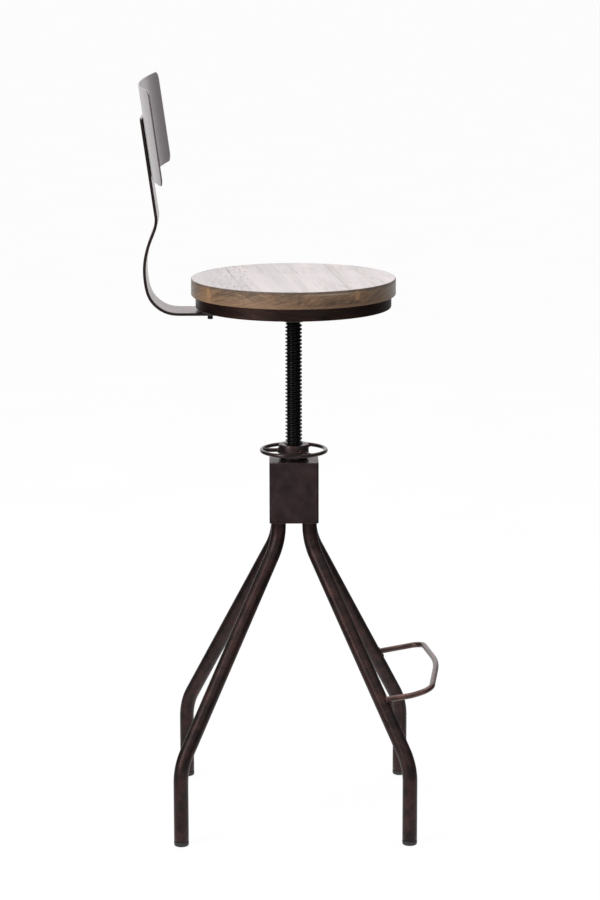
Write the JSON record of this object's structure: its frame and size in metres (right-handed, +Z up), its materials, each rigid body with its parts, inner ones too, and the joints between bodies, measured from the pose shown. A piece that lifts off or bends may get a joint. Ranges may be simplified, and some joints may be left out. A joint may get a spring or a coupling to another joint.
{
  "type": "bar stool with footrest",
  "caption": "Height-adjustable industrial bar stool: round wooden seat on a threaded spindle, low curved backrest on a bent strap, four bent tube legs, rod footrest and spoked lock ring.",
  "frame": {"origin": "on the floor under the spindle axis, which is the bottom centre of the object's box to within 4 mm", "axes": "+X towards the front, where the footrest is, with the backrest on -X; +Z up along the spindle; +Y to the sitter's left"},
  "size_m": [0.4841, 0.3914, 1.2114],
  "materials": {
    "bronze_steel": "antique dark bronze lacquer, brushed and rubbed to copper on edges",
    "rubbed_copper_rod": "antique finish rubbed through to copper, satin",
    "black_thread": "black oxide, oiled",
    "dark_fastener": "blackened steel",
    "foot_plastic": "black moulded plastic",
    "weathered_wood": "weathered brown pine with a grey-pink washed top"
  },
  "bodies": {
    "base": {"head_tube": "bronze_steel", "head_top_plate": "bronze_steel", "spindle_nut": "dark_fastener", "leg_front_left": "bronze_steel", "leg_front_right": "bronze_steel", "leg_rear_left": "bronze_steel", "leg_rear_right": "bronze_steel", "foot_cap_front_left": "foot_plastic", "foot_cap_front_right": "foot_plastic", "foot_cap_rear_left": "foot_plastic", "foot_cap_rear_right": "foot_plastic", "footrest_rod": "rubbed_copper_rod"},
    "ring_washer": {"lock_thrust_washer": "dark_fastener"},
    "lock_ring": {"lock_hub": "bronze_steel", "lock_rim": "rubbed_copper_rod", "lock_spoke_1": "rubbed_copper_rod", "lock_spoke_2": "rubbed_copper_rod", "lock_spoke_3": "rubbed_copper_rod"},
    "spindle_stop": {"stop_washer": "dark_fastener"},
    "seat_assembly": {"spindle": "black_thread", "spindle_end_bolt": "dark_fastener", "spindle_cross_pin": "dark_fastener", "spindle_flange": "bronze_steel", "seat_bracket_plate": "bronze_steel", "seat_pan": "bronze_steel", "seat_board_1": "weathered_wood", "seat_board_2": "weathered_wood", "seat_board_3": "weathered_wood", "seat_board_4": "weathered_wood", "flange_bolt_1": "dark_fastener", "flange_bolt_2": "dark_fastener", "flange_bolt_3": "dark_fastener", "flange_bolt_4": "dark_fastener", "strap_bolt_1": "dark_fastener", "strap_bolt_2": "dark_fastener", "strap_bolt_3": "dark_fastener", "strap_bolt_4": "dark_fastener", "pan_screw_1": "dark_fastener", "pan_screw_2": "dark_fastener", "pan_screw_3": "dark_fastener", "pan_screw_4": "dark_fastener", "backrest_strap": "bronze_steel", "backrest_panel": "bronze_steel", "panel_rivet_1": "dark_fastener", "panel_rivet_2": "dark_fastener", "panel_rivet_3": "dark_fastener", "panel_rivet_4": "dark_fastener"}
  },
  "joints": [
    {"name": "seat_rise", "type": "slide", "parent": "base", "child": "spindle_stop", "axis": [0, 0, 1], "range_m": [-0.18, 0.012]},
    {"name": "seat_turn", "type": "hinge", "parent": "spindle_stop", "child": "seat_assembly", "pos_m": [0, 0, 0.7], "axis": [0, 0, 1], "range_deg": [-10830, 750]},
    {"name": "ring_rise", "type": "slide", "parent": "base", "child": "ring_washer", "axis": [0, 0, 1], "range_m": [0, 0.012]},
    {"name": "ring_turn", "type": "hinge", "parent": "ring_washer", "child": "lock_ring", "pos_m": [0, 0, 0.61], "axis": [0, 0, 1], "range_deg": [-15, 750]}
  ],
  "couplings": [
    {"joint": "seat_turn", "follows": "seat_rise", "rad_per_m": 1047.2},
    {"joint": "ring_turn", "follows": "ring_rise", "rad_per_m": 1047.2}
  ]
}
